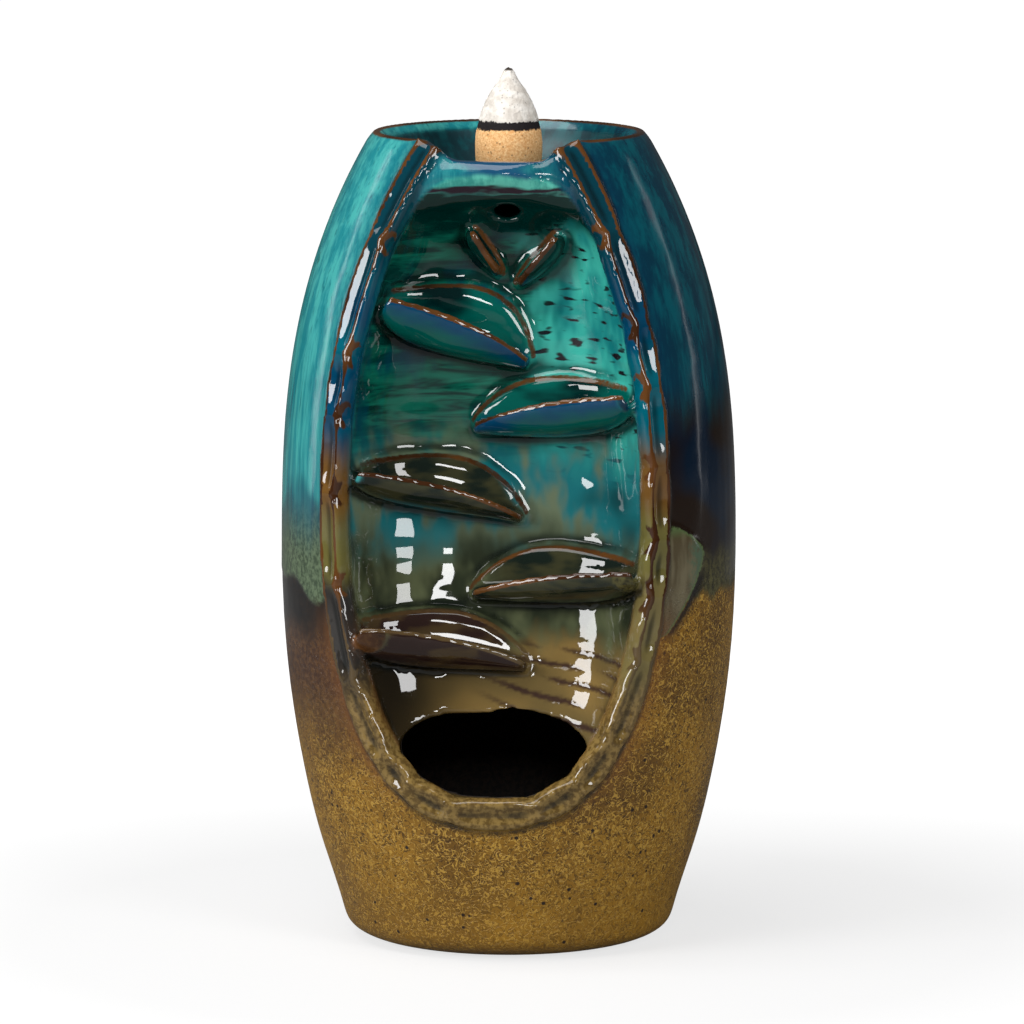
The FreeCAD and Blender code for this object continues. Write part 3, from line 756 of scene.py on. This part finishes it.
face_level = maths(tree, "MULTIPLY_ADD", pools, 18.0, maths(tree, "ADD", level, -9.0))
face = blend(tree, between(tree, face_level, 62.0, 68.0), face_low, face_olive)
face = blend(tree, between(tree, face_level, 78.0, 90.0), face, face_mottled)
face = blend(tree, between(tree, face_level, 96.0, 112.0), face, face_top)
# Painted shade: the face is painted dark just under the overhang of the lip.
face = blend(tree, between(tree, face_level, 144.0, 150.0), face, shade(0, 36, 32))
ragged_level = maths(tree, "MULTIPLY_ADD", dashes, 2.4, maths(tree, "ADD", level, -1.2))
under_lip = between(tree, ragged_level, 154.0, 155.0)
# Painted reflection: the top of the lip is painted blue over its turquoise.
lip_reflection_level = maths(tree, "MULTIPLY_ADD", pools, 5.0, maths(tree, "ADD", level, -2.5))
lip_low = blend(tree, between(tree, brushed, 0.4, 0.62), shade(52, 146, 136), shade(92, 188, 170))
lip_tone_and_reflection = blend(tree, between(tree, lip_reflection_level, 157.5, 159.0), lip_low, shade(24, 72, 104))
below_lip = between(tree, ragged_level, 156.2, 155.4)
# A painted shadow line: dark purple under the overhang of the lip.
lip_shadow_line = maths(tree, "MULTIPLY", under_lip, below_lip)
face = blend(tree, under_lip, face, lip_tone_and_reflection)
face = blend(tree, lip_shadow_line, face, shade(34, 16, 30))
print("rock face mixed")

# %% [markdown]
# Each leaf took the colour of the zone that it lies in: blue and teal at the top, olive in the middle,
# purple brown at the bottom. The blue leaves are painted dark away from their front rims, as painted shade
# under their bellies.

# %% leaves, basin and chamber
leaf_clouds = clouds(tree, stretch(tree, whole, (0.12, 0.2, 0.3)), 1.0, 2.0, 0.5)
below_rim = maths(tree, "ADD", share_of(tree, "below_rim"), -0.25)
leaf_mix = maths(tree, "MULTIPLY_ADD", leaf_clouds, 0.5, below_rim)
leaf_blue_shaded_below = blend(tree, between(tree, leaf_mix, 0.15, 0.6), shade(4, 60, 92), shade(0, 88, 78))
# Painted shade: far from the front rim, the underside of the leaf is painted nearly black.
leaf_blue_shaded_below = blend(tree, between(tree, leaf_mix, 0.7, 1.0), leaf_blue_shaded_below, shade(0, 30, 30))
leaf_olive = blend(tree, between(tree, leaf_clouds, 0.4, 0.62), shade(20, 30, 24), shade(54, 54, 34))
leaf_brown = blend(tree, between(tree, leaf_clouds, 0.4, 0.62), shade(40, 26, 22), shade(64, 50, 30))
leaf_tone = blend(tree, between(tree, level, 70.0, 74.0), leaf_brown, leaf_olive)
leaf_tone = blend(tree, between(tree, level, 100.0, 106.0), leaf_tone, leaf_blue_shaded_below)
leaf_tone = blend(tree, between(tree, level, 135.0, 138.0), leaf_tone, shade(4, 42, 36))

basin_tone = blend(tree, between(tree, brushed, 0.4, 0.6), shade(0, 46, 54), shade(0, 72, 78))
clay = blend(tree, between(tree, fine, 0.4, 0.6), shade(44, 32, 22), shade(20, 14, 10))

tongue = share_of(tree, "tongue")
streaks = clouds(tree, stretch(tree, whole, (0.35, 0.35, 0.09)), 1.0, 2.0, 0.5)
tongue_tone = blend(tree, between(tree, streaks, 0.36, 0.66), shade(82, 72, 50), shade(112, 104, 80))
tongue_side = maths(tree, "MULTIPLY_ADD", fine, 5.0, maths(tree, "ADD", across, -2.5))
tongue_tone = blend(tree, between(tree, tongue_side, 38.2, 40.6), tongue_tone, shade(78, 98, 76))
tongue_tone = blend(tree, between(tree, tongue, 0.95, 0.5), tongue_tone, shade(88, 106, 66))
ragged_tongue = maths(tree, "MULTIPLY_ADD", fine, 1.1, maths(tree, "ADD", tongue, -0.55))
wall = blend(tree, share_of(tree, "outline"), wall, shade(20, 14, 8))
wall = blend(tree, between(tree, ragged_tongue, 0.3, 0.6), wall, tongue_tone)
low_down = maths(tree, "SUBTRACT", 1.0, above(70, 4))
warm_band = maths(tree, "MULTIPLY", share_of(tree, "near_ridge"), low_down)
warm_band = maths(tree, "MULTIPLY", warm_band, above(36, 8))
wall = blend(tree, maths(tree, "MULTIPLY", warm_band, 0.7), wall, shade(136, 84, 34))

valley_blue = blend(tree, between(tree, broad, 0.42, 0.58), shade(0, 62, 92), shade(0, 92, 108))
valley_low = blend(tree, to_right, shade(46, 43, 40), shade(116, 104, 62))
valley_foot = blend(tree, between(tree, fine, 0.4, 0.6), shade(92, 72, 36), shade(132, 108, 60))
own_level = maths(tree, "MULTIPLY_ADD", drips, 8.0, maths(tree, "ADD", level, -4.0))


def valley_step(lower, border, soft, tone):
    return blend(tree, above(border, soft, own_level), lower, tone)


valley = valley_step(valley_foot, 56, 6, valley_low)
valley = valley_step(valley, 78, 3, shade(104, 98, 52))
valley = valley_step(valley, 91, 4, shade(108, 76, 34))
valley = valley_step(valley, 104, 5, valley_blue)
valley = valley_step(valley, 138, 8, shade(4, 54, 66))
wall = blend(tree, share_of(tree, "ridge"), wall, valley)
colour = blend(tree, share_of(tree, "recess"), wall, face)
colour = blend(tree, share_of(tree, "leaf"), colour, leaf_tone)
colour = blend(tree, share_of(tree, "basin"), colour, basin_tone)
colour = blend(tree, share_of(tree, "chamber"), colour, clay)
print("leaves, basin and chamber mixed")

# %% [markdown]
# Last come the breaks of the glaze. On crests and rims it runs thin and turns amber
# brown, and in corners it turns nearly black. The thin lines come from the distances to
# the ridge and the rims, and the rest is read from the bulge of the form.

# %% crests, corners and the finished glaze
crest = share_of(tree, "crest")
thin = maths(tree, "MULTIPLY_ADD", fine, 0.3, maths(tree, "ADD", share_of(tree, "thin_line"), -0.15))
amber = blend(tree, between(tree, broad, 0.42, 0.6), shade(58, 32, 14), shade(94, 58, 26))
amber = blend(tree, between(tree, level, 62.0, 78.0), shade(86, 70, 44), amber)
top_rim = maths(tree, "MULTIPLY", between(tree, crest, 0.36, 0.64), between(tree, level, 161.0, 163.0))
breaks = maths(tree, "MAXIMUM", between(tree, thin, 0.35, 0.65), top_rim)
breaks = maths(tree, "MULTIPLY", breaks, between(tree, level, 40.0, 66.0))
off_lip = maths(tree, "MULTIPLY", share_of(tree, "recess"), under_lip)
breaks = maths(tree, "MULTIPLY", breaks, maths(tree, "SUBTRACT", 1.0, off_lip))
pooled = maths(tree, "MULTIPLY", between(tree, crest, -0.12, -0.6), 0.75)
colour = blend(tree, pooled, colour, shade(4, 12, 12))
colour = blend(tree, breaks, colour, amber)
tree.links.new(colour, shader.inputs["Base Color"])

front_forms = maths(tree, "MAXIMUM", share_of(tree, "recess"), share_of(tree, "ridge"))
smooth_wall = maths(tree, "SUBTRACT", 1.0, front_forms)
gloss_low = maths(tree, "MULTIPLY_ADD", smooth_wall, 0.10, 0.03)
satin = maths(tree, "MULTIPLY_ADD", fine, 0.14, 0.26)
wet = maths(tree, "MAXIMUM", above_mustard, share_of(tree, "recess"))
wet = maths(tree, "MAXIMUM", wet, share_of(tree, "ridge"))
wet = maths(tree, "MAXIMUM", wet, share_of(tree, "leaf"))
dry = maths(tree, "SUBTRACT", 1.0, wet)
rough = maths(tree, "ADD", gloss_low, maths(tree, "MULTIPLY", dry, satin))
rough = maths(tree, "MAXIMUM", rough, maths(tree, "MULTIPLY", share_of(tree, "chamber"), 0.8))
rough = maths(tree, "MAXIMUM", rough, maths(tree, "MULTIPLY", share_of(tree, "basin"), 0.38))
tree.links.new(rough, shader.inputs["Roughness"])
shader.inputs["IOR"].default_value = 1.52

ripple_share = maths(tree, "MULTIPLY_ADD", share_of(tree, "recess"), 0.75, 0.25)
ripple = maths(tree, "MULTIPLY", clouds(tree, whole, 0.12, 0.0), ripple_share)
brush_lines = clouds(tree, stretch(tree, whole, (0.05, 0.05, 0.30)), 1.0, 0.0)
brush_share = maths(tree, "MULTIPLY", share_of(tree, "recess"), 0.35)
ripple = maths(tree, "MULTIPLY_ADD", brush_lines, brush_share, ripple)
ripple = maths(tree, "MULTIPLY_ADD", grain_light, maths(tree, "MULTIPLY", dry, 0.10), ripple)
relief = tree.nodes.new("ShaderNodeBump")
relief.inputs["Strength"].default_value = 1.0
relief.inputs["Distance"].default_value = 0.0006
tree.links.new(ripple, relief.inputs["Height"])
tree.links.new(relief.outputs[0], shader.inputs["Normal"])

burner.data.materials.clear()
burner.data.materials.append(glaze)
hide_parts("burner")
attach(burner, "root")
print("glaze nodes:", len(tree.nodes))

# %% [markdown]
# The incense cone is pressed wood powder. Its tip has burnt to pale ash, which stands on
# a thin black ember line, and the rest is still tan. Its form is rebuilt finer, and the
# grains, the pits of the ash and the ragged ember line are moved in the mesh itself.

# %% the cone's form
cone = glazed_copy("incense_cone", "incense_cone_lit", 0.0002, 1, 0.4)
cone_points = places(cone)
cone_out = outward(cone)


def grain_at(point, scale, shift):
    return grain.noise((point[0] * scale + shift, point[1] * scale, point[2] * scale))


cone_radius = np.hypot(cone_points[:, 0], cone_points[:, 1])
outer_skin = (cone_radius > 1.8) | (cone_points[:, 2] > 168.0)
lumps = np.array([grain_at(p, 1.6, 3.0) + 0.6 * grain_at(p, 3.4, 8.0) for p in cone_points])
ash = ease(cone_points[:, 2], 166.6, 167.2)
ember = ease(cone_points[:, 2], 164.6, 165.2) * (1 - ash)
away = -0.05 - 0.05 * lumps * (1 + ash) - 0.12 * ember
away = np.where(outer_skin & (cone_points[:, 2] > 154.4), away, 0.0)
put_back(cone, cone_points + cone_out * away[:, None])
print("cone cells:", len(cone.data.polygons))

# %% the cone's finish
powder = bpy.data.materials.new("pressed_powder")
powder.use_nodes = True
tree = powder.node_tree
shader = tree.nodes["Principled BSDF"]
whole, _, _, level = millimetres(tree)
grains = clouds(tree, whole, 2.6, 4.0, 0.7)
patches = clouds(tree, whole, 0.5, 2.0)
tan = blend(tree, between(tree, grains, 0.36, 0.66), shade(222, 160, 98), shade(250, 208, 152))
tan_specks = effect(tree, speck_group, whole, scale=1.6, share=0.22)
tan = blend(tree, maths(tree, "MULTIPLY", tan_specks, 0.6), tan, shade(112, 66, 30))
ash_tone = blend(tree, between(tree, patches, 0.35, 0.65), shade(214, 206, 196), shade(240, 234, 226))
ash_pits = maths(tree, "MULTIPLY", effect(tree, speck_group, whole, scale=1.9, share=0.16), 0.55)
ash_tone = blend(tree, ash_pits, ash_tone, shade(120, 112, 104))
torn = clouds(tree, whole, 1.1, 3.0, 0.7)
ragged = maths(tree, "MULTIPLY_ADD", torn, 1.6, maths(tree, "ADD", level, -0.8))
tone = blend(tree, between(tree, ragged, 164.9, 165.3), tan, shade(34, 30, 32))
tone = blend(tree, between(tree, ragged, 166.7, 166.9), tone, ash_tone)
tone = blend(tree, between(tree, level, 176.7, 177.1), tone, shade(60, 52, 46))
tree.links.new(tone, shader.inputs["Base Color"])
shader.inputs["Roughness"].default_value = 0.92
shader.inputs["Specular IOR Level"].default_value = 0.2
relief = tree.nodes.new("ShaderNodeBump")
relief.inputs["Strength"].default_value = 0.7
relief.inputs["Distance"].default_value = 0.0002
tree.links.new(grains, relief.inputs["Height"])
tree.links.new(relief.outputs[0], shader.inputs["Normal"])
cone.data.materials.clear()
cone.data.materials.append(powder)
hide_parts("incense_cone")
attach(cone, "root")
print("cone finished")

# %% [markdown]
# The view is kept plain, so that colours show as they are written.

# %% view
bpy.context.scene.view_settings.view_transform = "Standard"
